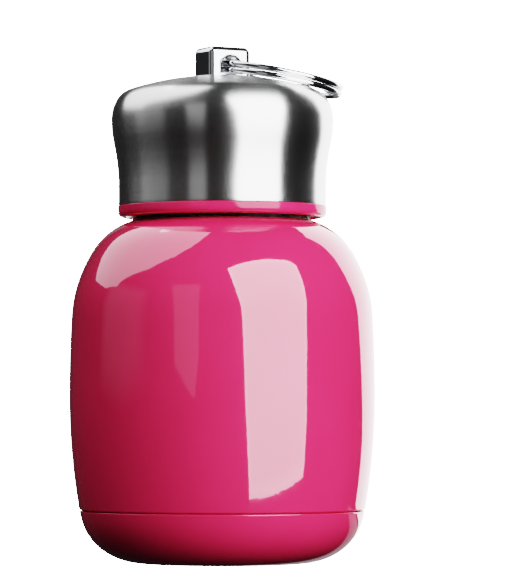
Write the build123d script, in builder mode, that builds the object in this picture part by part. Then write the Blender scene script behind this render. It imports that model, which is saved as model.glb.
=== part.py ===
from build123d import *
import os
from math import acos, cos, degrees, radians, sin

# A small double-walled vacuum flask with a screw cap, a lug and a split key ring.
# Z is the flask's axis, and z = 0 is the ring of the base that it stands on.
# Every wall of revolution is a chain of tangent runs (length,) and arcs (radius, turn in degrees);
# a chain goes up the outside, with the material on its left, and a left turn is positive.

# Body
foot_radius = 20.6            # outer edge of the flat standing ring
foot_curve = (18.93, 31.37)   # from the flat foot outwards
heel_curve = (14.36, 48.09)   # round the heel into the side
side_curve = (172.5, 10.53)   # barrel below the widest place
upper_side_curve = (382.5, 3.20)
shoulder_curves = [(31.2, 15.94), (41.6, 11.97), (18.4, 39.53)]
seam_height = 13.9            # middle of the groove between cover and shell
seam_gap = 0.5
wall = 0.6                    # outer steel, liner neck and cover
liner_wall = 0.5
nest_gap = 0.1                # between the shell's skirt and the cover
weld_gap = 0.05               # between two nested steel walls
vacuum_gap = 3.0

# Mouth and thread
neck_radius = 21.8
thread_height = 1.1
thread_pitch = 4.0
thread_base = 2.2             # width of a thread ridge at its root
thread_crest = 1.0            # width of a thread ridge at its crest
thread_start = 95.2           # height of the neck's ridge where it starts
neck_turns = 2.0
insert_turns = 1.5
thread_clearance = 0.3
ridge_sink = 0.2              # how far a ridge's root lies inside its wall
neck_top = 105.9
mouth_height = 107.0
mouth_radius = 20.4

# Cap
cap_rim_radius = 27.24
cap_rim_height = 93.45
cap_rise = 5.2                # straight part above the rim
cap_curves = [(51.6, -12.36), (30.9, 12.36), (10.26, 31.15), (5.75, 41.55)]
cap_wall = 0.5
collar_radius = 27.4
collar_bottom = 90.55
collar_top = 99.0
insert_wall = 1.6
insert_bottom = 91.2
ceiling_height = 109.1        # underside of the insert's ceiling
ceiling_thickness = 1.8
plug_bottom = 101.0
plug_radius = 19.6
plug_groove_radius = 18.6
plug_lip_height = 106.9       # top of the flange that holds the gasket
foam_radius = 23.5
foam_top = 120.5

# Lug, its fastener and the key ring
lug_yaw = 30.0                # the hole's mouth is turned this far from -Y towards +X
lug_width = 12.3
lug_depth = 9.6
lug_top = 135.0
lug_round = 1.6
hole_half_width = 3.0
hole_top = 132.8
hole_floor = 128.05
hole_bevel = 0.5
stud_radius = 2.0
boss_radius = 4.0
boss_clearance = 0.05
washer_thickness = 1.0
washer_radius = 6.5
spring_washer_radius = 3.8
spring_washer_slot = 0.8
nut_height = 3.2
nut_across_flats = 7.0
stud_length = 6.4
ring_outer_radius = 17.5
ring_wire_width = 2.0
ring_turn_thickness = 1.55
ring_turn_gap = 0.1
ring_wire_round = 0.55
ring_crossing_angle = 24.0    # the stretch where the wire steps from one turn to the next
ring_end_gap = 3.0            # between the crossing and each free end, in degrees
ring_crossing_start = 40.0    # measured from the ring's +X side
ring_centre = Vector(14.6, 6.1, 127.48)
ring_normal = Vector(0.187, 0.016, 1.0).normalized()

os.makedirs("parts", exist_ok=True)


def advance(point, heading, step):
    """Returns the end point and heading of one step of a chain."""
    if len(step) == 1:
        move = Vector(cos(radians(heading)), sin(radians(heading))) * step[0]
        return point + move, heading
    radius, turn = step
    side = 1 if turn > 0 else -1
    start_arm = Vector(-sin(radians(heading)), cos(radians(heading))) * radius * side
    heading += turn
    end_arm = Vector(-sin(radians(heading)), cos(radians(heading))) * radius * side
    return point + start_arm - end_arm, heading


def walk(point, heading, steps):
    """Returns the end point and heading of a whole chain."""
    for step in steps:
        point, heading = advance(point, heading, step)
    return point, heading


def shifted(point, heading, inset):
    """Returns a chain's point moved to its left by the inset."""
    return point + Vector(-sin(radians(heading)), cos(radians(heading))) * inset


def narrowed(steps, inset):
    """Returns the steps of the parallel chain that lies to the left by the inset."""
    result = []
    for step in steps:
        if len(step) == 1:
            result.append(step)
        elif step[1] > 0:
            result.append((step[0] - inset, step[1]))
        else:
            result.append((step[0] + inset, step[1]))
    return result


def draw(point, heading, steps, inset=0.0):
    """Draws a chain, moved to its left by the inset, and returns its first and last points."""
    place = shifted(point, heading, inset)
    first = place
    for step in narrowed(steps, inset):
        tangent = Vector(cos(radians(heading)), sin(radians(heading)))
        if len(step) == 1:
            Line(place, place + tangent * step[0])
        else:
            JernArc(place, tangent, step[0], step[1])
        place, heading = advance(place, heading, step)
    return first, place


def turn_to_height(point, heading, radius, height):
    """Returns the turn that takes a left-turning arc from its point up to a height."""
    centre_height = point.Y + radius * cos(radians(heading))
    return degrees(acos((centre_height - height) / radius)) - heading


def wall_outline(point, heading, steps, outer_inset, inner_inset):
    """Returns the closed outline between two parallel insets of one chain."""
    with BuildLine() as outline:
        outer = draw(point, heading, steps, outer_inset)
        inner = draw(point, heading, steps, inner_inset)
        Line(outer[0], inner[0])
        Line(outer[1], inner[1])
    return outline.line


def disc_outline(height, steps, thickness):
    """Returns the outline of a dished disc whose chain starts on the axis at a height."""
    return wall_outline(Vector(0, height), 0, steps, 0.0, thickness)


# Heights and headings along the body's outside
foot_start = Vector(foot_radius, 0)
heel_start, heel_heading = walk(foot_start, 0, [foot_curve])
side_start, side_heading = walk(heel_start, heel_heading, [heel_curve])
seam_low = seam_height - seam_gap / 2
seam_high = seam_height + seam_gap / 2
turn_to_seam_low = turn_to_height(side_start, side_heading, side_curve[0], seam_low)
turn_to_seam_high = turn_to_height(side_start, side_heading, side_curve[0], seam_high)
shell_start, shell_heading = walk(side_start, side_heading, [(side_curve[0], turn_to_seam_high)])
side_left = (side_curve[0], side_curve[1] - turn_to_seam_high)
upper_curves = [side_left, upper_side_curve] + shoulder_curves
shoulder_end, shoulder_heading = walk(shell_start, shell_heading, upper_curves)


def neck_steps(point, heading, radius, top):
    """Returns the concave fillet and the straight run from a shoulder's end up a neck."""
    fillet_radius = (point.X - radius) / (1 - sin(radians(heading)))
    fillet_step = (fillet_radius, 90 - heading)
    run_start, _ = walk(point, heading, [fillet_step])
    return [fillet_step, (top - run_start.Y,)]


# ---- base cover: painted cup with a shallow recess inside its standing ring
recess_step = 2.5
recess_turn = 40.0
recess_depth = 2 * recess_step * (1 - cos(radians(recess_turn)))
recess_flat = 14.4
recess_reach = recess_flat + 2 * recess_step * sin(radians(recess_turn))
cover_edge_round = 0.25
cover_steps = [
    (recess_flat,),
    (recess_step, -recess_turn),
    (recess_step, recess_turn),
    (foot_radius - recess_reach,),
    foot_curve,
    heel_curve,
    (side_curve[0], turn_to_seam_low),
]
with BuildPart() as base_cover:
    with BuildSketch(Plane.XZ):
        make_face(disc_outline(recess_depth, cover_steps, wall))
    revolve(axis=Axis.Z)
    rim_edges = base_cover.edges().filter_by(GeomType.CIRCLE).sort_by(Axis.Z)[-2:]
    fillet(rim_edges.sort_by(SortBy.RADIUS)[-1], radius=cover_edge_round)

# ---- outer shell: skirt inside the cover, joggle at the seam, barrel, shoulder and threaded neck
skirt_inset = wall + nest_gap
skirt_foot_heading = 45.0
skirt_turn_skipped = skirt_foot_heading - heel_heading
skirt_start, skirt_heading = walk(heel_start, heel_heading, [(heel_curve[0], skirt_turn_skipped)])
skirt_steps = [(heel_curve[0], heel_curve[1] - skirt_turn_skipped), (side_curve[0], turn_to_seam_low)]
joggle_rise = 1.2
turn_to_joggle_top = turn_to_height(side_start, side_heading, side_curve[0], seam_high + joggle_rise)
inner_start, inner_heading = walk(side_start, side_heading, [(side_curve[0], turn_to_joggle_top)])
inner_curves = [(side_curve[0], side_curve[1] - turn_to_joggle_top), upper_side_curve] + shoulder_curves
shell_neck = neck_steps(shoulder_end, shoulder_heading, neck_radius, neck_top)


def thread_ridge(root_radius, crest_radius, start_height, turns):
    """Sweeps one trapezoid ridge along a right-hand helix; it is sunk a little into its wall."""
    sink = ridge_sink if crest_radius > root_radius else -ridge_sink
    with BuildPart(mode=Mode.PRIVATE) as ridge:
        with BuildLine() as rail:
            Helix(
                pitch=thread_pitch,
                height=thread_pitch * turns,
                radius=root_radius,
                center=(0, 0, start_height),
            )
        with BuildSketch(Plane.XZ):
            with BuildLine():
                Polyline(
                    (root_radius - sink, start_height - thread_base / 2),
                    (root_radius, start_height - thread_base / 2),
                    (crest_radius, start_height - thread_crest / 2),
                    (crest_radius, start_height + thread_crest / 2),
                    (root_radius, start_height + thread_base / 2),
                    (root_radius - sink, start_height + thread_base / 2),
                    close=True,
                )
            make_face()
        sweep(path=rail.wires()[0], is_frenet=True)
    return ridge.part


neck_ridge = thread_ridge(neck_radius, neck_radius + thread_height, thread_start, neck_turns)
with BuildPart() as outer_shell:
    with BuildSketch(Plane.XZ):
        with BuildLine():
            skirt_outer = draw(skirt_start, skirt_heading, skirt_steps, skirt_inset)
            skirt_inner = draw(skirt_start, skirt_heading, skirt_steps, skirt_inset + wall)
            shell_outer = draw(shell_start, shell_heading, upper_curves + shell_neck)
            shell_inner = draw(inner_start, inner_heading, inner_curves + shell_neck, wall)
            Line(skirt_outer[0], skirt_inner[0])
            Line(skirt_outer[1], shell_outer[0])
            Line(skirt_inner[1], shell_inner[0])
            Line(shell_outer[1], shell_inner[1])
        make_face()
    revolve(axis=Axis.Z)
    add(neck_ridge)

# ---- vacuum base disc: closes the shell inside its skirt, with a dimple that is hollow from below
disc_inset = skirt_inset + wall + weld_gap
disc_corner = 4.0
disc_flange_turn = 20.0
dimple_flat = 5.0
dimple_step = 2.0
dimple_turn = 50.0
dimple_depth = 2 * dimple_step * (1 - cos(radians(dimple_turn)))
dimple_reach = dimple_flat + 2 * dimple_step * sin(radians(dimple_turn))
disc_edge = shifted(skirt_start, skirt_heading, disc_inset)
corner_reach = disc_corner * sin(radians(skirt_heading))
disc_height = disc_edge.Y - disc_corner * (1 - cos(radians(skirt_heading)))
disc_flat = disc_edge.X - corner_reach - dimple_reach
disc_steps = [
    (dimple_flat,),
    (dimple_step, -dimple_turn),
    (dimple_step, dimple_turn),
    (disc_flat,),
    (disc_corner, skirt_heading),
    (heel_curve[0] - disc_inset, disc_flange_turn),
]
evacuation_hole_radius = 0.75
with BuildPart() as vacuum_base_disc:
    with BuildSketch(Plane.XZ):
        make_face(disc_outline(disc_height + dimple_depth, disc_steps, wall))
    revolve(axis=Axis.Z)
    with Locations((0, 0, disc_height + dimple_depth)):
        Hole(evacuation_hole_radius)

# ---- seal bead: glass solder button in the dimple, under the evacuation hole
bead_radius = 3.6
bead_thickness = 0.9
bead_round = 0.6
with BuildPart() as seal_bead:
    with BuildSketch(Plane.XY.offset(disc_height + dimple_depth - bead_thickness)):
        Circle(bead_radius)
    extrude(amount=bead_thickness)
    fillet(seal_bead.edges().group_by(Axis.Z)[0], radius=bead_round)

# ---- inner liner: parallel to the shell across the vacuum gap, with the rolled mouth lip
liner_inset = wall + vacuum_gap
liner_low = 18.0
turn_to_liner = turn_to_height(side_start, side_heading, side_curve[0], liner_low)
liner_place, liner_heading = walk(side_start, side_heading, [(side_curve[0], turn_to_liner)])
liner_start = shifted(liner_place, liner_heading, liner_inset)
liner_curves = narrowed(
    [(side_curve[0], side_curve[1] - turn_to_liner), upper_side_curve] + shoulder_curves, liner_inset
)
liner_end, liner_end_heading = walk(liner_start, liner_heading, liner_curves)
liner_neck_radius = mouth_radius + liner_wall
liner_neck = neck_steps(liner_end, liner_end_heading, liner_neck_radius, mouth_height)
lip_round = 0.45
with BuildPart() as inner_liner:
    with BuildSketch(Plane.XZ):
        make_face(wall_outline(liner_start, liner_heading, liner_curves + liner_neck, 0.0, liner_wall))
    revolve(axis=Axis.Z)
    with BuildSketch(Plane.XY.offset(neck_top)):
        Circle(neck_radius)
        Circle(mouth_radius, mode=Mode.SUBTRACT)
    extrude(amount=mouth_height - neck_top)
    fillet(inner_liner.edges().group_by(Axis.Z)[-1], radius=lip_round)

# ---- liner bottom: dished disc whose flange is welded inside the liner
flange_rise = 5.0
bottom_corner = 10.5
bottom_inset = liner_inset + liner_wall + weld_gap
bottom_edge = shifted(liner_place, liner_heading, bottom_inset)
liner_bottom_height = bottom_edge.Y - bottom_corner * (1 - cos(radians(liner_heading)))
liner_bottom_flat = bottom_edge.X - bottom_corner * sin(radians(liner_heading))
flange_turn = turn_to_height(side_start, side_heading, side_curve[0], liner_low + flange_rise) - turn_to_liner
bottom_steps = [
    (liner_bottom_flat,),
    (bottom_corner, liner_heading),
    (side_curve[0] - bottom_inset, flange_turn),
]
with BuildPart() as liner_bottom:
    with BuildSketch(Plane.XZ):
        make_face(disc_outline(liner_bottom_height, bottom_steps, liner_wall))
    revolve(axis=Axis.Z)

# ---- radiation foil: thin wrap in the vacuum, over the liner's side
foil_inset = 2.4
foil_thickness = 0.15
foil_low = 22.0
turn_to_foil = turn_to_height(side_start, side_heading, side_curve[0], foil_low)
foil_start, foil_heading = walk(side_start, side_heading, [(side_curve[0], turn_to_foil)])
foil_curves = [(side_curve[0], side_curve[1] - turn_to_foil), upper_side_curve, shoulder_curves[0]]
with BuildPart() as radiation_foil:
    with BuildSketch(Plane.XZ):
        foil_inner = foil_inset + foil_thickness
        make_face(wall_outline(foil_start, foil_heading, foil_curves, foil_inset, foil_inner))
    revolve(axis=Axis.Z)

# ---- getter: a pellet in a small cup welded under the liner bottom
getter_offset = 14.0
holder_radius = 4.2
holder_height = 2.2
holder_wall = 0.3
pellet_radius = 3.6
pellet_height = 1.7
pellet_round = 0.3
getter_plane = Plane.XY.offset(liner_bottom_height - holder_height)
with BuildPart() as getter_holder:
    with BuildSketch(getter_plane):
        with Locations((getter_offset, 0)):
            Circle(holder_radius)
    extrude(amount=holder_height)
    with BuildSketch(getter_plane.offset(holder_wall)):
        with Locations((getter_offset, 0)):
            Circle(holder_radius - holder_wall)
    extrude(amount=holder_height, mode=Mode.SUBTRACT)
with BuildPart() as getter_pellet:
    with BuildSketch(getter_plane.offset(holder_wall)):
        with Locations((getter_offset, 0)):
            Circle(pellet_radius)
    extrude(amount=pellet_height)
    fillet(getter_pellet.edges(), radius=pellet_round)

# ---- cap shell: flared steel cap, its dome pierced for the lug's boss
cap_start = Vector(cap_rim_radius, cap_rim_height)
dome_start, dome_heading = walk(cap_start, 90, [(cap_rise,)] + cap_curves)
dome_radius = dome_start.X / sin(radians(180 - dome_heading))
cap_steps = [(cap_rise,)] + cap_curves + [(dome_radius, 180 - dome_heading)]
dome_top = dome_start.Y + dome_radius * (1 - cos(radians(180 - dome_heading)))
ceiling_inside = dome_top - cap_wall
with BuildPart() as cap_shell:
    with BuildSketch(Plane.XZ):
        make_face(wall_outline(cap_start, 90, cap_steps, 0.0, cap_wall))
    revolve(axis=Axis.Z)
    with Locations((0, 0, dome_top)):
        Hole(boss_radius + boss_clearance, depth=4 * cap_wall)

# ---- cap collar: painted plastic ring that carries the shell's rim
sleeve_outer = cap_rim_radius - cap_wall - nest_gap
sleeve_inner = neck_radius + thread_height + thread_clearance + insert_wall + nest_gap
collar_round = 1.7
lead_in_height = 1.2
lead_in_width = 0.6
with BuildPart() as cap_collar:
    with BuildSketch(Plane.XY.offset(collar_bottom)):
        Circle(collar_radius)
        Circle(sleeve_inner, mode=Mode.SUBTRACT)
    extrude(amount=cap_rim_height - collar_bottom)
    with BuildSketch(Plane.XY.offset(cap_rim_height)):
        Circle(sleeve_outer)
        Circle(sleeve_inner, mode=Mode.SUBTRACT)
    extrude(amount=collar_top - cap_rim_height)
    collar_foot = cap_collar.edges().group_by(Axis.Z)[0]
    fillet(collar_foot.sort_by(SortBy.RADIUS)[-1], radius=collar_round)
    chamfer(collar_foot.sort_by(SortBy.RADIUS)[0], length=lead_in_height, length2=lead_in_width)

# ---- thread insert: moulded inner cap with the female thread, centring ribs and a flat ceiling
insert_root = neck_radius + thread_height + thread_clearance
insert_outer = insert_root + insert_wall
insert_crest = neck_radius + thread_clearance
insert_thread_start = thread_start + thread_pitch / 2
rib_count = 8
rib_thickness = 1.2
rib_gap = 0.3                 # between a rib's foot and the collar's sleeve
rib_low = collar_top + rib_gap
rib_reach = 26.6              # radius of a rib's outer end
rib_root = 0.8                # how far a rib's inner end lies inside the insert's wall
insert_round = 1.0
insert_ridge = thread_ridge(insert_root, insert_crest, insert_thread_start, insert_turns)
with BuildPart() as thread_insert:
    with BuildSketch(Plane.XY.offset(insert_bottom)):
        Circle(insert_outer)
    extrude(amount=ceiling_height + ceiling_thickness - insert_bottom)
    with BuildSketch(Plane.XY.offset(rib_low)):
        with PolarLocations(radius=(insert_outer - rib_root + rib_reach) / 2, count=rib_count):
            Rectangle(rib_reach - insert_outer + rib_root, rib_thickness)
    extrude(amount=ceiling_height - rib_low)
    with BuildSketch(Plane.XY.offset(insert_bottom)):
        Circle(insert_root)
    extrude(amount=ceiling_height - insert_bottom, mode=Mode.SUBTRACT)
    top_edges = thread_insert.edges().filter_by(GeomType.CIRCLE).group_by(Axis.Z)[-1]
    fillet(top_edges, radius=insert_round)
    add(insert_ridge)

# ---- plug disc: closes the mouth under the ceiling, with a flange that holds the gasket
plug_wall = 1.6
plug_round = 2.0
flange_round = 0.4
with BuildPart() as plug_disc:
    with BuildSketch(Plane.XY.offset(plug_bottom)):
        Circle(plug_radius)
    extrude(amount=plug_lip_height - plug_bottom)
    fillet(plug_disc.edges().group_by(Axis.Z)[0], radius=plug_round)
    fillet(plug_disc.edges().group_by(Axis.Z)[-1], radius=flange_round)
    with BuildSketch(Plane.XY.offset(plug_lip_height)):
        Circle(plug_groove_radius)
    extrude(amount=ceiling_height - plug_lip_height)
    with BuildSketch(Plane.XY.offset(plug_bottom + plug_wall)):
        Circle(plug_groove_radius - plug_wall)
    extrude(amount=ceiling_height - plug_bottom, mode=Mode.SUBTRACT)

# ---- seal ring: soft gasket between the mouth's lip and the ceiling
gasket_gap = 0.08
gasket_outer = 22.4
gasket_round = 0.5
with BuildPart() as seal_ring:
    with BuildSketch(Plane.XY.offset(mouth_height + gasket_gap)):
        Circle(gasket_outer)
        Circle(plug_groove_radius + gasket_gap, mode=Mode.SUBTRACT)
    extrude(amount=ceiling_height - mouth_height - 2 * gasket_gap)
    fillet(seal_ring.edges().filter_by(GeomType.CIRCLE).sort_by(SortBy.RADIUS)[-2:], radius=gasket_round)

# ---- cap foam: insulating puck in the space under the dome
foam_round = 2.0
with BuildPart() as cap_foam:
    with BuildSketch(Plane.XY.offset(ceiling_height + ceiling_thickness)):
        Circle(foam_radius)
    extrude(amount=foam_top - ceiling_height - ceiling_thickness)
    fillet(cap_foam.edges().group_by(Axis.Z)[-1], radius=foam_round)

# ---- lug: block on the dome with an arched hole, a boss through the dome and a threaded stud
lug_x = Vector(cos(radians(lug_yaw)), sin(radians(lug_yaw)), 0)
hole_axis = Vector(sin(radians(lug_yaw)), -cos(radians(lug_yaw)), 0)
lug_plane = Plane(origin=(0, 0, 0), x_dir=lug_x, z_dir=(0, 0, 1))
lug_sink = 2.0                # how far the block starts below the dome's top before the dome is cut out
lug_base = dome_top - lug_sink


def arch(half_width, top):
    """Returns the hole's outline: flat floor, straight sides and a round top."""
    spring = top - half_width
    with BuildLine() as outline:
        Line((-half_width, hole_floor), (half_width, hole_floor))
        Line((half_width, hole_floor), (half_width, spring))
        CenterArc((0, spring), half_width, 0, 180)
        Line((-half_width, spring), (-half_width, hole_floor))
    return outline.line


def face_plane(distance):
    """Returns the upright plane across the hole at a distance from the lug's middle."""
    return Plane(origin=hole_axis * distance, x_dir=lug_x, z_dir=hole_axis)


dome_ball = Solid.make_sphere(dome_radius, angle1=-90, angle2=90, angle3=360)
dome_ball = Pos(0, 0, dome_top - dome_radius) * dome_ball
with BuildPart() as lug:
    with BuildSketch(lug_plane.offset(lug_base)):
        Rectangle(lug_width, lug_depth)
    extrude(amount=lug_top - lug_base)
    fillet(lug.edges().filter_by(Axis.Z), radius=lug_round)
    fillet(lug.edges().group_by(Axis.Z)[-1], radius=lug_round)
    add(dome_ball, mode=Mode.SUBTRACT)
    with BuildSketch(face_plane(-lug_depth)):
        make_face(arch(hole_half_width, hole_top))
    extrude(amount=2 * lug_depth, mode=Mode.SUBTRACT)
    for side in (1, -1):
        with BuildSketch(face_plane(side * lug_depth / 2)):
            make_face(arch(hole_half_width + hole_bevel, hole_top + hole_bevel))
        with BuildSketch(face_plane(side * (lug_depth / 2 - hole_bevel))):
            make_face(arch(hole_half_width, hole_top))
        loft(mode=Mode.SUBTRACT)
    with BuildSketch(Plane.XY.offset(ceiling_inside)):
        Circle(boss_radius)
    extrude(amount=hole_floor - ceiling_inside)
    with BuildSketch(Plane.XY.offset(ceiling_inside - stud_length)):
        Circle(stud_radius)
    extrude(amount=stud_length)

# ---- flat washer, split spring washer and nut on the stud, under the dome
stud_clearance = 0.05
washer_hole = stud_radius + stud_clearance
nut_chamfer = 0.4
dome_inside_radius = dome_radius - cap_wall
washer_sag = dome_inside_radius - (dome_inside_radius**2 - washer_radius**2) ** 0.5
washer_top = ceiling_inside - washer_sag
spring_washer_top = washer_top - washer_thickness
nut_top = spring_washer_top - washer_thickness
with BuildPart() as lug_washer:
    with BuildSketch(Plane.XY.offset(washer_top - washer_thickness)):
        Circle(washer_radius)
        Circle(washer_hole, mode=Mode.SUBTRACT)
    extrude(amount=washer_thickness)
with BuildPart() as lug_spring_washer:
    with BuildSketch(Plane.XY.offset(spring_washer_top - washer_thickness)):
        Circle(spring_washer_radius)
        Circle(washer_hole, mode=Mode.SUBTRACT)
        with Locations((spring_washer_radius, 0)):
            Rectangle(2 * spring_washer_radius, spring_washer_slot, mode=Mode.SUBTRACT)
    extrude(amount=washer_thickness)
with BuildPart() as lug_nut:
    with BuildSketch(Plane.XY.offset(nut_top - nut_height)):
        RegularPolygon(nut_across_flats / 2, 6, major_radius=False)
    extrude(amount=nut_height)
    chamfer(lug_nut.edges().group_by(Axis.Z)[-1], length=nut_chamfer)
    chamfer(lug_nut.edges().group_by(Axis.Z)[0], length=nut_chamfer)
    with Locations((0, 0, nut_top)):
        Hole(washer_hole)

# ---- key ring: flat wire wound twice round, stepping from the lower turn to the upper one
ring_axis = Axis(ring_centre, ring_normal)
ring_x = (Vector(1, 0, 0) - ring_normal * ring_normal.X).normalized()
wire_radius = ring_outer_radius - ring_wire_width / 2
turn_offset = (ring_turn_thickness + ring_turn_gap) / 2


def spoke(angle):
    """Returns the plane across the ring's wire at an angle, with x outwards and y along the ring's axis."""
    outward = ring_x.rotate(Axis((0, 0, 0), ring_normal), angle)
    return Plane(origin=ring_centre, x_dir=outward, z_dir=outward.cross(ring_normal))


def wire_section(angle, height):
    """Returns the wire's rounded section at an angle and a height along the ring's axis."""
    with BuildSketch(spoke(angle), mode=Mode.PRIVATE) as section:
        with Locations((wire_radius, height)):
            RectangleRounded(ring_wire_width, ring_turn_thickness, ring_wire_round)
    return section.sketch


crossing_end = ring_crossing_start + ring_crossing_angle
turn_arc = 360 - ring_crossing_angle - ring_end_gap
crossing_sections = 5
with BuildPart() as key_ring:
    revolve(wire_section(crossing_end + ring_end_gap, -turn_offset), ring_axis, turn_arc)
    revolve(wire_section(crossing_end, turn_offset), ring_axis, turn_arc)
    crossing = []
    for index in range(crossing_sections):
        share = index / (crossing_sections - 1)
        angle = ring_crossing_start + share * ring_crossing_angle
        crossing.append(wire_section(angle, -turn_offset * cos(radians(180 * share))))
    loft(crossing)

# ---- labels and files
pieces = {
    "outer_shell": outer_shell,
    "base_cover": base_cover,
    "vacuum_base_disc": vacuum_base_disc,
    "seal_bead": seal_bead,
    "inner_liner": inner_liner,
    "liner_bottom": liner_bottom,
    "radiation_foil": radiation_foil,
    "getter_holder": getter_holder,
    "getter_pellet": getter_pellet,
    "cap_shell": cap_shell,
    "cap_collar": cap_collar,
    "thread_insert": thread_insert,
    "plug_disc": plug_disc,
    "cap_foam": cap_foam,
    "seal_ring": seal_ring,
    "lug": lug,
    "lug_washer": lug_washer,
    "lug_spring_washer": lug_spring_washer,
    "lug_nut": lug_nut,
    "key_ring": key_ring,
}
for name, piece in pieces.items():
    piece.part.label = name
    export_step(piece.part, f"parts/{name}.step")
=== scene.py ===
import math

import bmesh
import bpy
import numpy as np
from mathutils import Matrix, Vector


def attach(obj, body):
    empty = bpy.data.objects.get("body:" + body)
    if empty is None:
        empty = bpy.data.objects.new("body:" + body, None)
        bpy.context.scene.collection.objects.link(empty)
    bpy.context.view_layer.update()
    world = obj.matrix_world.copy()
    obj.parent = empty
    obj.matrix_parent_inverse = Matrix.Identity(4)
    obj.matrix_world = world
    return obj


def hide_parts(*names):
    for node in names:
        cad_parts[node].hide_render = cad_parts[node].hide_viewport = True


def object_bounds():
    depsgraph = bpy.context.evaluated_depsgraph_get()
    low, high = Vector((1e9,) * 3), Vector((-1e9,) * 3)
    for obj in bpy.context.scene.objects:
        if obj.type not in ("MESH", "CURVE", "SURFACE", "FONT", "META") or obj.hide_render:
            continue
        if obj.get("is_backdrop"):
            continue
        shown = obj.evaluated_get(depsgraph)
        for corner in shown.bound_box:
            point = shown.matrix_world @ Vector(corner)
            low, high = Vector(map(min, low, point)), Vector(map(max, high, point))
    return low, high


# A small vacuum flask: painted steel body, brushed steel screw cap, chromed lug and split key ring.
# Outlines are written in millimetres as (radius, height) and turned about Z; meshes are in metres.

MM = 0.001
SEGMENTS = 192                # steps round the axis

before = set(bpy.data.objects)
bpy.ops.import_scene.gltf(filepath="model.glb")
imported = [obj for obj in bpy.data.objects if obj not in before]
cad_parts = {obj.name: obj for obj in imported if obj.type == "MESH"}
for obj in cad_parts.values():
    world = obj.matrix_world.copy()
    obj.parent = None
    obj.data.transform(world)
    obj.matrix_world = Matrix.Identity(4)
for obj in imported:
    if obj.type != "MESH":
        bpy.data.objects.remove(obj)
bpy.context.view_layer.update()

# ---------------------------------------------------------------- dimensions, in millimetres

FOOT_RADIUS = 20.6
FOOT_CURVE = (18.93, 31.37)
HEEL_CURVE = (14.36, 48.09)
SIDE_CURVE = (172.5, 10.53)
UPPER_CURVES = [(382.5, 3.20), (31.2, 15.94), (41.6, 11.97), (18.4, 39.53)]
SEAM_LOW = 13.65
SEAM_HIGH = 14.15
BODY_FAIRING = 4.0            # length over which the side evens out between its arcs
COVER_ROUND = 0.14
SHELL_ROUND = 0.25
SKIRT_GAP = 0.1
SEAM_TUCK = 1.2               # the barrel's inside starts this far above the seam
WALL = 0.6
LINER_WALL = 0.5
LINER_INSET = 3.6
LINER_LOW = 18.0
NECK_RADIUS = 21.8
NECK_TOP = 105.9
MOUTH_HEIGHT = 107.0
MOUTH_RADIUS = 20.4
LIP_ROUND = 0.45
THREAD_HEIGHT = 1.1
THREAD_PITCH = 4.0
THREAD_BASE = 2.2
THREAD_CREST = 1.0
THREAD_START = 95.2
THREAD_TURNS = 2.0
THREAD_FADE = 0.06            # the share of a turn over which each end of the thread runs out
THREAD_FLOOR = 93.2           # nothing stands out of the neck below this height
PAINT_TOP = 91.6              # where the neck rises out of the shoulder and the paint stops
CAP_RIM = (27.24, 93.45)
CAP_RISE = 5.2
CAP_CURVES = [(51.6, -12.36), (30.9, 12.36), (10.26, 31.15), (5.75, 41.55)]
CAP_WALL = 0.5
CAP_ROUND = 0.22
BOSS_RADIUS = 4.0
BOSS_SINK = 0.08              # how far the boss ends below the hole's floor
BOSS_GAP = 0.05
COLLAR_RADIUS = 27.4
COLLAR_BOTTOM = 90.55
COLLAR_TOP = 99.0
COLLAR_SLEEVE = 26.64
COLLAR_BORE = 24.9
COLLAR_ROUND = 1.7
LUG_YAW = 30.0
LUG_WIDTH = 12.3
LUG_DEPTH = 9.6
LUG_TOP = 135.3               # 0.3 mm above the CAD lug, nearer to the photographed height
LUG_ROUND = 1.6
HOLE_HALF = 3.0
HOLE_TOP = 132.8
HOLE_FLOOR = 128.05
HOLE_BEVEL = 0.5
STUD_RADIUS = 2.0
STUD_LENGTH = 6.4
STUD_CHAMFER = 0.4
STUD_PITCH = 0.7
STUD_GROOVE = 0.32
RING_WIRE_RADIUS = 16.5       # to the middle of the wire
RING_WIRE_WIDTH = 2.0
RING_TURN = 1.55
RING_STEP = 0.825             # height of each turn's middle above the ring's own middle
RING_ROUND = 0.72             # rounder than the CAD wire, whose corners are 0.55 mm
RING_START = 67.0
RING_CROSSING = (400.0, 424.0)
RING_END = 757.0
RING_CENTRE = Vector((14.6, 6.1, 127.48))
RING_NORMAL = Vector((0.187, 0.016, 1.0)).normalized()

# ---------------------------------------------------------------- outlines


def run_headings(steps, heading, pace):
    """Headings in degrees at an even pace along a chain of (length,) runs and (radius, turn) arcs."""
    headings = []
    for step in steps:
        if len(step) == 1:
            count = max(1, round(step[0] / pace))
            headings += [(heading, step[0] / count)] * count
            continue
        radius, turn = step
        length = radius * math.radians(abs(turn))
        count = max(1, round(length / pace))
        headings += [(heading + turn * (i + 0.5) / count, length / count) for i in range(count)]
        heading += turn
    return headings


def even_out(values, reach):
    """Moving average that keeps the ends' slope."""
    if reach < 1:
        return values
    before = 2 * values[0] - values[reach:0:-1]
    after = 2 * values[-1] - values[-2:-reach - 2:-1]
    wide = np.concatenate([before, values, after])
    window = np.ones(2 * reach + 1) / (2 * reach + 1)
    return np.convolve(wide, window, mode="valid")


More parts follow.
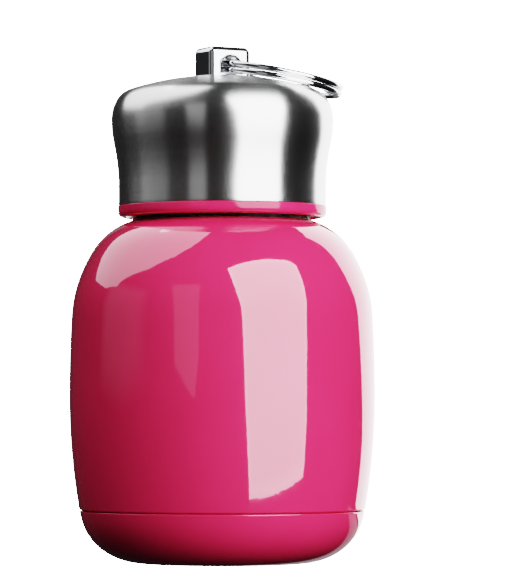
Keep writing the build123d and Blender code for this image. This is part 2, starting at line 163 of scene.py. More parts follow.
def trace(start, heading, steps, reach=0.0, bend=2.5, longest=1.2):
    """Points and headings along a chain. The reach, in mm, evens out jumps in curvature between arcs."""
    pace = 0.1
    runs = run_headings(steps, heading, pace)
    angles = np.array([r[0] for r in runs])
    lengths = np.array([r[1] for r in runs])
    smooth = even_out(even_out(angles, int(reach / pace / 2)), int(reach / pace / 2))

    def walk(turns):
        moves = np.stack([np.cos(np.radians(turns)), np.sin(np.radians(turns))], 1) * lengths[:, None]
        return np.concatenate([[start], np.array(start) + np.cumsum(moves, 0)])

    exact, path = walk(angles), walk(smooth)
    share = np.linspace(0, 1, len(path))[:, None]
    path += share * (exact[-1] - path[-1])
    middles = np.concatenate([[smooth[0]], (smooth[1:] + smooth[:-1]) / 2, [smooth[-1]]])
    keep, last, gone = [0], middles[0], 0.0
    for i in range(1, len(path) - 1):
        gone += lengths[i - 1]
        if abs(middles[i] - last) >= bend or gone >= longest:
            keep.append(i)
            last, gone = middles[i], 0.0
    keep.append(len(path) - 1)
    return path[keep], middles[keep]


def inset(points, headings, distance):
    """The parallel line that lies to the left of a traced one."""
    h = np.radians(headings)
    return points + np.stack([-np.sin(h), np.cos(h)], 1) * distance


def end_of(start, heading, steps):
    """Last point and heading of a chain."""
    runs = run_headings(steps, heading, 0.1)
    point = np.array(start, float)
    for angle, length in runs:
        point = point + np.array([math.cos(math.radians(angle)), math.sin(math.radians(angle))]) * length
    return point, heading + sum(step[1] for step in steps if len(step) == 2)


def part_above(points, headings, height):
    """The stretch of a rising traced line from a height upwards."""
    i = int(np.argmax(points[:, 1] > height))
    share = (height - points[i - 1, 1]) / (points[i, 1] - points[i - 1, 1])
    first = points[i - 1] + (points[i] - points[i - 1]) * share
    turn = headings[i - 1] + (headings[i] - headings[i - 1]) * share
    return np.vstack([first, points[i:]]), np.concatenate([[turn], headings[i:]])


def part_below(points, headings, height):
    """The stretch of a rising traced line up to a height."""
    i = int(np.argmax(points[:, 1] > height))
    share = (height - points[i - 1, 1]) / (points[i, 1] - points[i - 1, 1])
    end = points[i - 1] + (points[i] - points[i - 1]) * share
    turn = headings[i - 1] + (headings[i] - headings[i - 1]) * share
    return np.vstack([points[:i], end]), np.concatenate([headings[:i], [turn]])


def soften(outline, size, limit=25.0, pieces=4):
    """Rounds every corner of a closed outline that turns by more than the limit."""
    result = []
    count = len(outline)
    for i in range(count):
        before, here, after = outline[i - 1], outline[i], outline[(i + 1) % count]
        a, b = here - before, after - here
        la, lb = np.linalg.norm(a), np.linalg.norm(b)
        if la < 1e-6 or lb < 1e-6:
            continue
        turn = math.degrees(math.acos(np.clip(np.dot(a, b) / la / lb, -1, 1)))
        on_axis = here[0] < 1e-6
        if turn < limit or on_axis:
            result.append(here)
            continue
        p = here - a / la * min(size, 0.48 * la)
        q = here + b / lb * min(size, 0.48 * lb)
        for k in range(pieces + 1):
            t = k / pieces
            result.append((1 - t) ** 2 * p + 2 * t * (1 - t) * here + t * t * q)
    return np.array(result)


def closed(*lines):
    """Joins lines end to end into one closed outline, without doubled points."""
    points = np.vstack([np.array(line, float).reshape(-1, 2) for line in lines])
    keep = [i for i in range(len(points)) if np.linalg.norm(points[i] - points[i - 1]) > 1e-5]
    return points[keep]


def refine(outline, longest):
    """Splits the long straight runs of a closed outline."""
    result = []
    for i, here in enumerate(outline):
        after = outline[(i + 1) % len(outline)]
        count = max(1, math.ceil(np.linalg.norm(after - here) / longest))
        result += [here + (after - here) * k / count for k in range(count)]
    return np.array(result)


# ---------------------------------------------------------------- meshes


def finish_mesh(name, bm, body, nodes, materials, sharp=32.0):
    """Turns a bmesh in mm into a shaded object that rides on a body and stands for its CAD nodes."""
    bmesh.ops.recalc_face_normals(bm, faces=bm.faces)
    bmesh.ops.scale(bm, vec=(MM, MM, MM), verts=bm.verts)
    mesh = bpy.data.meshes.new(name)
    bm.to_mesh(mesh)
    bm.free()
    mesh.shade_smooth()
    mesh.set_sharp_from_angle(angle=math.radians(sharp))
    for material in materials:
        mesh.materials.append(material)
    piece = bpy.data.objects.new(name, mesh)
    bpy.context.scene.collection.objects.link(piece)
    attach(piece, body)
    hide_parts(*nodes)
    return piece


def turned(bm, outline, relief=None, mark=None):
    """Turns a closed outline about Z. relief(angle, radius, height) moves a point outwards."""
    angles = [2 * math.pi * k / SEGMENTS for k in range(SEGMENTS)]
    rings = []
    for radius, height in outline:
        if radius < 1e-6:
            rings.append([bm.verts.new((0, 0, height))])
            continue
        ring = []
        for angle in angles:
            r = radius + (relief(angle, radius, height) if relief else 0.0)
            ring.append(bm.verts.new((r * math.cos(angle), r * math.sin(angle), height)))
        rings.append(ring)
    for i, low in enumerate(rings):
        high = rings[(i + 1) % len(rings)]
        if len(low) == 1 and len(high) == 1:
            continue
        for k in range(SEGMENTS):
            j = (k + 1) % SEGMENTS
            if len(low) == 1:
                face = bm.faces.new((low[0], high[j], high[k]))
            elif len(high) == 1:
                face = bm.faces.new((low[k], low[j], high[0]))
            else:
                face = bm.faces.new((low[k], low[j], high[j], high[k]))
            if mark:
                face.material_index = mark(face)


def lathe(name, outline, body, nodes, materials, relief=None, mark=None):
    bm = bmesh.new()
    turned(bm, outline, relief, mark)
    return finish_mesh(name, bm, body, nodes, materials)


# ---------------------------------------------------------------- node helpers


class Nodes:
    """Builds a material's node tree."""

    def __init__(self, name):
        self.material = bpy.data.materials.new(name)
        self.material.use_nodes = True
        self.tree = self.material.node_tree
        self.shader = self.tree.nodes["Principled BSDF"]
        self.place = self.add("ShaderNodeTexCoord").outputs["Object"]

    def add(self, kind, **settings):
        node = self.tree.nodes.new(kind)
        for key, value in settings.items():
            setattr(node, key, value)
        return node

    def link(self, output, target):
        self.tree.links.new(output, target)

    def put(self, socket, value):
        if hasattr(value, "is_output"):
            self.link(value, socket)
        else:
            socket.default_value = value

    def maths(self, operation, a, b=0.0):
        node = self.add("ShaderNodeMath", operation=operation)
        self.put(node.inputs[0], a)
        self.put(node.inputs[1], b)
        return node.outputs[0]

    def noise(self, place, scale, detail=3.0, roughness=0.5, distortion=0.0):
        node = self.add("ShaderNodeTexNoise")
        self.link(place, node.inputs["Vector"])
        node.inputs["Scale"].default_value = scale
        node.inputs["Detail"].default_value = detail
        node.inputs["Roughness"].default_value = roughness
        node.inputs["Distortion"].default_value = distortion
        return node.outputs["Fac"]

    def spread(self, value, low, high, out_low, out_high):
        node = self.add("ShaderNodeMapRange")
        self.link(value, node.inputs["Value"])
        for key, number in zip(("From Min", "From Max", "To Min", "To Max"), (low, high, out_low, out_high)):
            node.inputs[key].default_value = number
        return node.outputs["Result"]

    def blend(self, share, a, b):
        node = self.add("ShaderNodeMix", data_type="RGBA")
        self.put(node.inputs["Factor"], share)
        self.put(node.inputs["A"], a)
        self.put(node.inputs["B"], b)
        return node.outputs["Result"]

    def bump(self, height, distance, normal=None):
        node = self.add("ShaderNodeBump")
        node.inputs["Strength"].default_value = 1.0
        node.inputs["Distance"].default_value = distance
        self.link(height, node.inputs["Height"])
        if normal is not None:
            self.link(normal, node.inputs["Normal"])
        return node.outputs["Normal"]

    def set(self, **values):
        for key, value in values.items():
            self.put(self.shader.inputs[key.replace("_", " ")], value)

    def around(self, along, across):
        """Coordinates that run round Z slowly and across the turning marks quickly."""
        split = self.add("ShaderNodeSeparateXYZ")
        self.link(self.place, split.inputs[0])
        x, y, z = split.outputs
        squares = self.maths("ADD", self.maths("MULTIPLY", x, x), self.maths("MULTIPLY", y, y))
        radius = self.maths("SQRT", squares)
        safe = self.maths("MAXIMUM", radius, 0.0004)
        join = self.add("ShaderNodeCombineXYZ")
        self.link(self.maths("MULTIPLY", self.maths("DIVIDE", x, safe), along), join.inputs[0])
        self.link(self.maths("MULTIPLY", self.maths("DIVIDE", y, safe), along), join.inputs[1])
        self.link(self.maths("MULTIPLY", self.maths("SUBTRACT", z, radius), across), join.inputs[2])
        return join.outputs[0]


# ---------------------------------------------------------------- materials


def paint_material(name, deep, light):
    """Glossy two-coat paint on steel."""
    n = Nodes(name)
    drift = n.spread(n.noise(n.place, 28.0, 3.0), 0.35, 0.65, 0.0, 1.0)
    colour = n.blend(drift, deep, light)
    peel = n.noise(n.place, 900.0, 2.0, 0.45)
    wave = n.noise(n.place, 160.0, 2.0, 0.4)
    dust = n.spread(n.noise(n.place, 2600.0, 1.0, 0.5), 0.74, 0.80, 0.0, 1.0)
    normal = n.bump(peel, 0.0000035)
    normal = n.bump(wave, 0.00001, normal=normal)
    normal = n.bump(dust, 0.000006, normal=normal)
    rough = n.spread(n.noise(n.place, 70.0, 4.0, 0.6), 0.3, 0.7, 0.055, 0.085)
    n.set(Base_Color=colour, Roughness=rough, IOR=1.55, Normal=normal)
    n.set(Coat_Weight=1.0, Coat_Roughness=0.015, Coat_IOR=1.65, Coat_Normal=normal)
    n.set(Coat_Tint=(1.0, 0.62, 0.76, 1.0))
    return n.material


def brushed_material(name):
    """Steel with fine turning marks round the axis."""
    n = Nodes(name)
    fine = n.noise(n.around(2.2, 16000.0), 1.0, 3.0, 0.6)
    broad = n.noise(n.around(0.8, 3600.0), 1.0, 3.0, 0.55)
    cloud = n.noise(n.place, 60.0, 3.0)
    tone = n.maths("ADD", n.maths("MULTIPLY", fine, 0.6), n.maths("MULTIPLY", broad, 0.4))
    tone = n.spread(tone, 0.35, 0.65, 0.0, 1.0)
    colour = n.blend(tone, (0.70, 0.70, 0.705, 1.0), (0.77, 0.77, 0.775, 1.0))
    mixed = n.maths("ADD", n.maths("MULTIPLY", broad, 0.5), n.maths("MULTIPLY", cloud, 0.5))
    rough = n.spread(mixed, 0.35, 0.65, 0.23, 0.27)
    normal = n.bump(fine, 0.0000007)
    normal = n.bump(broad, 0.0000005, normal=normal)
    tangent = n.add("ShaderNodeTangent", direction_type="RADIAL", axis="Z")
    n.set(Base_Color=colour, Metallic=1.0, Roughness=rough, Normal=normal)
    n.set(Anisotropic=0.85, Anisotropic_Rotation=0.25, Tangent=tangent.outputs[0])
    return n.material


def chrome_material(name):
    """Bright plating with faint wiping marks."""
    n = Nodes(name)
    smear = n.noise(n.place, 260.0, 4.0, 0.6, 0.6)
    pits = n.noise(n.place, 1800.0, 2.0, 0.5)
    rough = n.spread(smear, 0.35, 0.7, 0.03, 0.11)
    colour = n.blend(n.spread(smear, 0.4, 0.7, 0.0, 1.0), (0.80, 0.81, 0.83, 1.0), (0.72, 0.73, 0.75, 1.0))
    normal = n.bump(pits, 0.000002)
    n.set(Base_Color=colour, Metallic=1.0, Roughness=rough, Normal=normal)
    return n.material


def plain_steel_material(name, tone, rough_low, rough_high):
    """Drawn sheet steel without a finish."""
    n = Nodes(name)
    streak = n.noise(n.around(2.5, 5200.0), 1.0, 3.0, 0.6)
    cloud = n.noise(n.place, 90.0, 4.0, 0.6)
    low = tuple(tone * 0.82 for _ in range(3)) + (1.0,)
    high = tuple(min(1.0, tone * 1.08) for _ in range(3)) + (1.0,)
    mixed = n.maths("ADD", n.maths("MULTIPLY", streak, 0.5), n.maths("MULTIPLY", cloud, 0.5))
    colour = n.blend(n.spread(mixed, 0.35, 0.65, 0.0, 1.0), low, high)
    rough = n.spread(cloud, 0.3, 0.7, rough_low, rough_high)
    normal = n.bump(streak, 0.000005)
    n.set(Base_Color=colour, Metallic=1.0, Roughness=rough, Normal=normal)
    return n.material


def moulded_material(name, base, shade, gloss, grain, depth, subsurface=0.0):
    """Moulded plastic or rubber with a fine surface grain."""
    n = Nodes(name)
    cloud = n.noise(n.place, 120.0, 4.0, 0.6)
    skin = n.noise(n.place, grain, 3.0, 0.6)
    colour = n.blend(n.spread(cloud, 0.35, 0.65, 0.0, 1.0), base, shade)
    rough = n.spread(skin, 0.3, 0.7, gloss * 0.85, gloss * 1.15)
    normal = n.bump(skin, depth)
    n.set(Base_Color=colour, Roughness=rough, Normal=normal)
    n.set(Subsurface_Weight=subsurface, Subsurface_Scale=0.002)
    return n.material


def foam_material(name):
    n = Nodes(name)
    cells = n.add("ShaderNodeTexVoronoi", feature="DISTANCE_TO_EDGE")
    n.link(n.place, cells.inputs["Vector"])
    cells.inputs["Scale"].default_value = 900.0
    wall = n.spread(cells.outputs["Distance"], 0.0, 0.12, 0.0, 1.0)
    colour = n.blend(wall, (0.80, 0.79, 0.75, 1.0), (0.62, 0.60, 0.55, 1.0))
    n.set(Base_Color=colour, Roughness=n.spread(wall, 0.0, 1.0, 0.7, 0.9), Normal=n.bump(wall, -0.00015))
    return n.material


def foil_material(name):
    n = Nodes(name)
    crease = n.noise(n.place, 220.0, 5.0, 0.7, 1.2)
    colour = n.blend(n.spread(crease, 0.3, 0.7, 0.0, 1.0), (0.80, 0.80, 0.80, 1.0), (0.90, 0.90, 0.90, 1.0))
    rough = n.spread(crease, 0.3, 0.7, 0.12, 0.28)
    n.set(Base_Color=colour, Metallic=1.0, Roughness=rough, Normal=n.bump(crease, 0.0002))
    return n.material


paint = paint_material("pink_paint", (0.74, 0.062, 0.165, 1.0), (0.79, 0.070, 0.185, 1.0))
brushed = brushed_material("brushed_cap_steel")
chrome = chrome_material("bright_chrome")
bare = plain_steel_material("bare_drawn_steel", 0.62, 0.22, 0.36)
zinc = plain_steel_material("zinc_plated_steel", 0.70, 0.30, 0.42)
collar_pink = moulded_material(
    "pink_collar_plastic", (0.68, 0.036, 0.125, 1.0), (0.74, 0.042, 0.14, 1.0),
    0.12, 1500.0, 0.000003,
)
white_plastic = moulded_material(
    "white_moulded_plastic", (0.83, 0.83, 0.80, 1.0), (0.78, 0.78, 0.75, 1.0),
    0.38, 1600.0, 0.00001, 0.15,
)
silicone = moulded_material(
    "clear_silicone", (0.78, 0.79, 0.78, 1.0), (0.70, 0.71, 0.70, 1.0),
    0.48, 2400.0, 0.000008, 0.3,
)
solder = moulded_material(
    "solder_glass", (0.10, 0.105, 0.12, 1.0), (0.16, 0.165, 0.18, 1.0),
    0.16, 900.0, 0.00003,
)
getter = moulded_material(
    "sintered_getter", (0.11, 0.105, 0.10, 1.0), (0.19, 0.18, 0.17, 1.0),
    0.85, 2600.0, 0.00008,
)
foam = foam_material("cell_foam")
foil = foil_material("creased_foil")

carried_over = {
    "vacuum_base_disc": bare,
    "liner_bottom": bare,
    "getter_holder": bare,
    "getter_pellet": getter,
    "seal_bead": solder,
    "radiation_foil": foil,
    "thread_insert": white_plastic,
    "plug_disc": white_plastic,
    "cap_foam": foam,
    "seal_ring": silicone,
    "lug_washer": zinc,
    "lug_spring_washer": zinc,
    "lug_nut": zinc,
}
for node, material in carried_over.items():
    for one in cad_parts[node].material_slots:
        one.material = material

# ---------------------------------------------------------------- body outlines

foot_start = (FOOT_RADIUS, 0.0)
body_steps = [FOOT_CURVE, HEEL_CURVE, SIDE_CURVE] + UPPER_CURVES
body_line, body_turns = trace(foot_start, 0.0, body_steps, reach=BODY_FAIRING)
shoulder_end, shoulder_turn = body_line[-1], body_turns[-1]


def neck_line(point, heading, radius, top):
    """The concave fillet and the straight run from a shoulder's end up a neck."""
    fillet = (point[0] - radius) / (1 - math.sin(math.radians(heading)))
    end, _ = end_of(point, heading, [(fillet, 90 - heading)])
    return trace(point, heading, [(fillet, 90 - heading), (top - end[1],)], bend=6.0, longest=0.2)


neck_points, neck_turns = neck_line(shoulder_end, shoulder_turn, NECK_RADIUS, NECK_TOP)

# ---- base cover
recess_step, recess_turn, recess_flat = 2.5, 40.0, 14.4
recess_depth = 2 * recess_step * (1 - math.cos(math.radians(recess_turn)))
recess_reach = recess_flat + 2 * recess_step * math.sin(math.radians(recess_turn))
recess_steps = [
    (recess_flat,),
    (recess_step, -recess_turn),
    (recess_step, recess_turn),
    (FOOT_RADIUS - recess_reach,),
]
recess_line, recess_turns = trace((0.0, recess_depth), 0.0, recess_steps, reach=0.6, bend=6.0, longest=3.0)
cover_low, cover_low_turns = part_below(body_line, body_turns, SEAM_LOW)
cover_line = np.vstack([recess_line, cover_low[1:]])
cover_turns = np.concatenate([recess_turns, cover_low_turns[1:]])
cover_outline = closed(cover_line, inset(cover_line, cover_turns, WALL)[::-1])
lathe("painted_base_cover", soften(cover_outline, COVER_ROUND), "bottle", ["base_cover"], [paint])

# ---- outer shell: skirt, joggle, barrel, shoulder and neck with the rolled thread
upper_line, _ = part_above(body_line, body_turns, SEAM_HIGH)
skirt_all, skirt_all_turns = part_below(body_line, body_turns, SEAM_LOW)
skirt_first = int(np.argmax(skirt_all_turns > 45.0))
skirt_line, skirt_turns = skirt_all[skirt_first:], skirt_all_turns[skirt_first:]
skirt_inset = WALL + SKIRT_GAP
inner_line, inner_turns = part_above(body_line, body_turns, SEAM_HIGH + SEAM_TUCK)
shell_outline = closed(
    inset(skirt_line, skirt_turns, skirt_inset),
    upper_line,
    neck_points[1:],
    inset(neck_points, neck_turns, WALL)[::-1],
    inset(inner_line, inner_turns, WALL)[::-1][1:],
    inset(skirt_line, skirt_turns, skirt_inset + WALL)[::-1],
)


def thread_relief(angle, radius, height):
    """How far the rolled thread stands out of the neck at a place on its outside."""
    if radius < NECK_RADIUS - 0.05 or height < THREAD_FLOOR:
        return 0.0
    turn = angle / (2 * math.pi)
    best = 0.0
    for whole in range(int(THREAD_TURNS) + 1):
        along = whole + turn
        if not 0.0 <= along <= THREAD_TURNS:
            continue
        away = abs(height - THREAD_START - THREAD_PITCH * along)
        flank = (THREAD_BASE / 2 - away) / (THREAD_BASE / 2 - THREAD_CREST / 2)
        rise = min(1.0, max(0.0, flank))
        rise = rise * rise * (3 - 2 * rise)
        fade = min(1.0, along / THREAD_FADE, (THREAD_TURNS - along) / THREAD_FADE)
        fade = fade * fade * (3 - 2 * fade)
        best = max(best, THREAD_HEIGHT * rise * fade)
    return best


def is_bare(face):
    """Paint stops where the neck rises out of the shoulder; the inside is bare."""
    middle = face.calc_center_median()
    reach = math.hypot(middle.x, middle.y)
    outside = np.interp(middle.z, upper_line[:, 1], upper_line[:, 0])
    if middle.z > PAINT_TOP:
        return 1
    if middle.z > SEAM_HIGH - 0.1 and reach < outside - 0.35:
        return 1
    return 0


lathe(
    "painted_outer_shell", soften(shell_outline, SHELL_ROUND), "bottle", ["outer_shell"],
    [paint, bare], relief=thread_relief, mark=is_bare,
)

# ---- inner liner with its rolled mouth lip
liner_line, liner_turns = part_above(body_line, body_turns, LINER_LOW)
liner_outer = inset(liner_line, liner_turns, LINER_INSET)
liner_neck, _ = neck_line(liner_outer[-1], liner_turns[-1], MOUTH_RADIUS + LINER_WALL, NECK_TOP)
throat, throat_turns = neck_line(liner_outer[-1], liner_turns[-1], MOUTH_RADIUS + LINER_WALL, MOUTH_HEIGHT)
liner_outline = closed(
    liner_outer,
    liner_neck[1:],
    [(NECK_RADIUS, NECK_TOP), (NECK_RADIUS, MOUTH_HEIGHT), (MOUTH_RADIUS, MOUTH_HEIGHT)],
    inset(throat, throat_turns, LINER_WALL)[::-1][1:],
    inset(liner_outer, liner_turns, LINER_WALL)[::-1],
)
lathe("inner_bottle", soften(liner_outline, LIP_ROUND, pieces=6), "bottle", ["inner_liner"], [bare])

# ---------------------------------------------------------------- cap outlines

cap_line, cap_turns = trace(CAP_RIM, 90.0, [(CAP_RISE,)] + CAP_CURVES, reach=1.6, longest=0.9)
dome_radius = cap_line[-1][0] / math.sin(math.radians(180 - cap_turns[-1]))
dome_line, dome_turns = trace(cap_line[-1], cap_turns[-1], [(dome_radius, 180 - cap_turns[-1])], longest=1.0)
dome_top = float(dome_line[-1][1])
cap_all = np.vstack([cap_line, dome_line[1:]])
cap_all_turns = np.concatenate([cap_turns, dome_turns[1:]])
boss_hole = BOSS_RADIUS + BOSS_GAP
outside_hole = cap_all[:, 0] > boss_hole
cap_skin = cap_all[outside_hole]
cap_skin_turns = cap_all_turns[outside_hole]
hole_height = dome_top - (dome_radius - math.sqrt(dome_radius ** 2 - boss_hole ** 2))
cap_outline = closed(
    cap_skin,
    [(boss_hole, hole_height), (boss_hole, hole_height - CAP_WALL)],
    inset(cap_skin, cap_skin_turns, CAP_WALL)[::-1],
)
lathe("brushed_cap_shell", soften(cap_outline, CAP_ROUND), "cap", ["cap_shell"], [brushed])

# ---- collar
collar_outline = np.array([
    (COLLAR_BORE + 0.6, COLLAR_BOTTOM),
    (COLLAR_RADIUS, COLLAR_BOTTOM),
    (COLLAR_RADIUS, CAP_RIM[1]),
    (COLLAR_SLEEVE, CAP_RIM[1]),
    (COLLAR_SLEEVE, COLLAR_TOP),
    (COLLAR_BORE, COLLAR_TOP),
    (COLLAR_BORE, COLLAR_BOTTOM + 1.2),
])


def rounded_corners(outline, sizes, pieces=6):
    """Rounds each corner of a closed outline by its own size."""
    result = []
    count = len(outline)
    for i in range(count):
        here = outline[i]
        before, after = outline[i - 1] - here, outline[(i + 1) % count] - here
        p = here + before / np.linalg.norm(before) * sizes[i]
        q = here + after / np.linalg.norm(after) * sizes[i]
        for k in range(pieces + 1):
            t = k / pieces
            result.append((1 - t) ** 2 * p + 2 * t * (1 - t) * here + t * t * q)
    return np.array(result)


collar_corners = (0.3, COLLAR_ROUND, 0.16, 0.08, 0.3, 0.2, 0.2)
collar_shape = refine(rounded_corners(collar_outline, collar_corners), 1.5)
lathe("pink_cap_collar", collar_shape, "cap", ["cap_collar"], [collar_pink])

# ---------------------------------------------------------------- lug

lug_x = Vector((math.cos(math.radians(LUG_YAW)), math.sin(math.radians(LUG_YAW)), 0))
lug_y = Vector((-lug_x.y, lug_x.x, 0))


def even_points(corners, count):
    """Points at even spacing along an open line, both ends included."""
    line = np.array(corners, float)
    gaps = np.linalg.norm(np.diff(line, axis=0), axis=1)
    gone = np.concatenate([[0], np.cumsum(gaps)])
    at = np.linspace(0, gone[-1], count)
    return np.stack([np.interp(at, gone, line[:, 0]), np.interp(at, gone, line[:, 1])], 1)


def arc_points(centre, radius, first, last, count=24):
    """Points on an arc from one angle to another, in degrees."""
    angles = np.radians(np.linspace(first, last, count))
    return [(centre[0] + radius * math.cos(a), centre[1] + radius * math.sin(a)) for a in angles]


BOTTOM, SIDE, TOP = 15, 15, 41


def block_loop(shrink, depth):
    """The block's outline at a depth, pulled in by a distance, with its foot on the dome."""
    half, top = LUG_WIDTH / 2 - shrink, LUG_TOP - shrink
    corner = max(LUG_ROUND - shrink, 0.001)

    def foot(x):
        reach = x * x + depth * depth
        return dome_top - dome_radius + math.sqrt(dome_radius ** 2 - reach)

    base = [(x, foot(x)) for x in np.linspace(-half, half, BOTTOM)]
    right = even_points([(half, foot(half)), (half, top - corner)], SIDE)
    over = arc_points((half - corner, top - corner), corner, 0, 90)
    over += arc_points((corner - half, top - corner), corner, 90, 180)
    left = even_points([(-half, top - corner), (-half, foot(-half))], SIDE)
    return np.vstack([base[:-1], right[:-1], even_points(over, TOP)[:-1], left[:-1]])


def hole_loop(grow):
    """The arched hole's outline, widened by a distance."""
    half, top = HOLE_HALF + grow, HOLE_TOP + grow
    spring = top - half
    base = even_points([(-half, HOLE_FLOOR), (half, HOLE_FLOOR)], BOTTOM)
    right = even_points([(half, HOLE_FLOOR), (half, spring)], SIDE)
    left = even_points([(-half, spring), (-half, HOLE_FLOOR)], SIDE)
    over = even_points(arc_points((0, spring), half, 0, 180, 60), TOP)
    return np.vstack([base[:-1], right[:-1], over[:-1], left[:-1]])


def add_loop(bm, loop, depth):
    return [bm.verts.new(lug_x * x + lug_y * depth + Vector((0, 0, z))) for x, z in loop]


def join_loops(bm, a, b):
    for k in range(len(a)):
        j = (k + 1) % len(a)
        bm.faces.new((a[k], a[j], b[j], b[k]))


half_depth = LUG_DEPTH / 2
bm = bmesh.new()
loops = []
steps = 7
for side in (-1, 1):
    curve = []
    for k in range(steps + 1):
        a = math.radians(90 * k / steps)
        shrink = LUG_ROUND * (1 - math.sin(a))
        depth = half_depth - LUG_ROUND * (1 - math.cos(a))
        curve.append(add_loop(bm, block_loop(shrink, side * depth), side * depth))
    loops.append(curve if side < 0 else curve[::-1])
outer = loops[0] + loops[1]
for a, b in zip(outer[:-1], outer[1:]):
    join_loops(bm, a, b)
mouth_angles = np.radians(np.linspace(0, 90, 6))
mouth_profile = [(HOLE_BEVEL * (1 - math.sin(a)), HOLE_BEVEL * (1 - math.cos(a))) for a in mouth_angles]
inner = [add_loop(bm, hole_loop(grow), -half_depth + depth) for grow, depth in mouth_profile]
inner += [add_loop(bm, hole_loop(grow), half_depth - depth) for grow, depth in mouth_profile[::-1]]
for a, b in zip(inner[:-1], inner[1:]):
    join_loops(bm, a, b)
join_loops(bm, outer[0], inner[0])
join_loops(bm, outer[-1], inner[-1])
stud_low = dome_top - CAP_WALL - STUD_LENGTH
boss_low = dome_top - CAP_WALL
stud_outline = [
    (0.0, stud_low),
    (STUD_RADIUS - STUD_CHAMFER, stud_low),
    (STUD_RADIUS, stud_low + STUD_CHAMFER),
]
thread_low, thread_high = stud_low + 0.5, boss_low - 0.6
rows = int((thread_high - thread_low) / STUD_PITCH)
for row in range(rows):
    low = thread_low + row * STUD_PITCH
    stud_outline += [(STUD_RADIUS, low), (STUD_RADIUS - STUD_GROOVE, low + STUD_PITCH / 2)]
stud_outline += [(STUD_RADIUS, boss_low - 0.3), (STUD_RADIUS, boss_low), (BOSS_RADIUS, boss_low)]
stud_outline += [(BOSS_RADIUS, HOLE_FLOOR - BOSS_SINK), (0.0, HOLE_FLOOR - BOSS_SINK)]
turned(bm, np.array(stud_outline))
finish_mesh("chrome_lug", bm, "cap", ["lug"], [chrome])

# ---------------------------------------------------------------- key ring

ring_x = (Vector((1, 0, 0)) - RING_NORMAL * RING_NORMAL.x).normalized()
ring_y = RING_NORMAL.cross(ring_x)


def wire_section(scale=1.0):
    """Rounded section of the ring's wire as (outwards, upwards) offsets."""
    w, h = RING_WIRE_WIDTH / 2, RING_TURN / 2
    r = RING_ROUND
    points = []
    for cx, cy, first in ((w - r, h - r, 0), (r - w, h - r, 90), (r - w, r - h, 180), (w - r, r - h, 270)):
        points += arc_points((cx, cy), r, first, first + 90, 6)
    return [(x * scale, y * scale) for x, y in points]


def ring_height(angle):
    """Height of the wire's middle as it steps from the lower turn to the upper one."""
    share = (angle - RING_CROSSING[0]) / (RING_CROSSING[1] - RING_CROSSING[0])
    share = min(1.0, max(0.0, share))
    return -RING_STEP * math.cos(math.pi * share)


bm = bmesh.new()
tip = ((0.0, 0.55), (0.12, 0.85), (0.6, 1.0))    # degrees from a free end, and the section's size there
ring_sections = 300
stops = [(RING_START + back, scale) for back, scale in tip]
for k in range(1, ring_sections):
    stops.append((RING_START + (RING_END - RING_START) * k / ring_sections, 1.0))
stops += [(RING_END - back, scale) for back, scale in tip[::-1]]
sections = []
for angle, scale in stops:
    turn = math.radians(angle)
    outward = ring_x * math.cos(turn) + ring_y * math.sin(turn)
    middle = RING_CENTRE + RING_NORMAL * ring_height(angle)
    section = [(outward * (RING_WIRE_RADIUS + x) + RING_NORMAL * y) for x, y in wire_section(scale)]
    sections.append([bm.verts.new(middle + offset) for offset in section])
for a, b in zip(sections[:-1], sections[1:]):
    join_loops(bm, a, b)
bm.faces.new(sections[0])
bm.faces.new(sections[-1])
finish_mesh("split_key_ring", bm, "ring", ["key_ring"], [chrome], sharp=50.0)

# ---------------------------------------------------------------- studio

scene = bpy.context.scene
LIGHT_RADIUS = 0.70
LIGHT_CENTRE = Vector((0, 0, 0.060))
FLOOR_RADIUS = 6.0
FLOOR_GAP = 0.0002
FILL_DIFFUSE = 0.09           # the dim light from all round, as matt surfaces get it
FILL_GLOSSY = 0.03            # and as reflections show it
FILL_FROM_BELOW = 0.25        # the share of it that comes from below
BACKDROP = 12.0               # how brightly the white backdrop and floor shine at the camera
PANEL_SHARES = (1.0, 0.94, 0.88, 0.6, 0.3)
SOFT_SHARES = (1.0, 0.6, 0.3)
BORDER_SHARE = 0.9            # nested outlines larger than this belong to the border


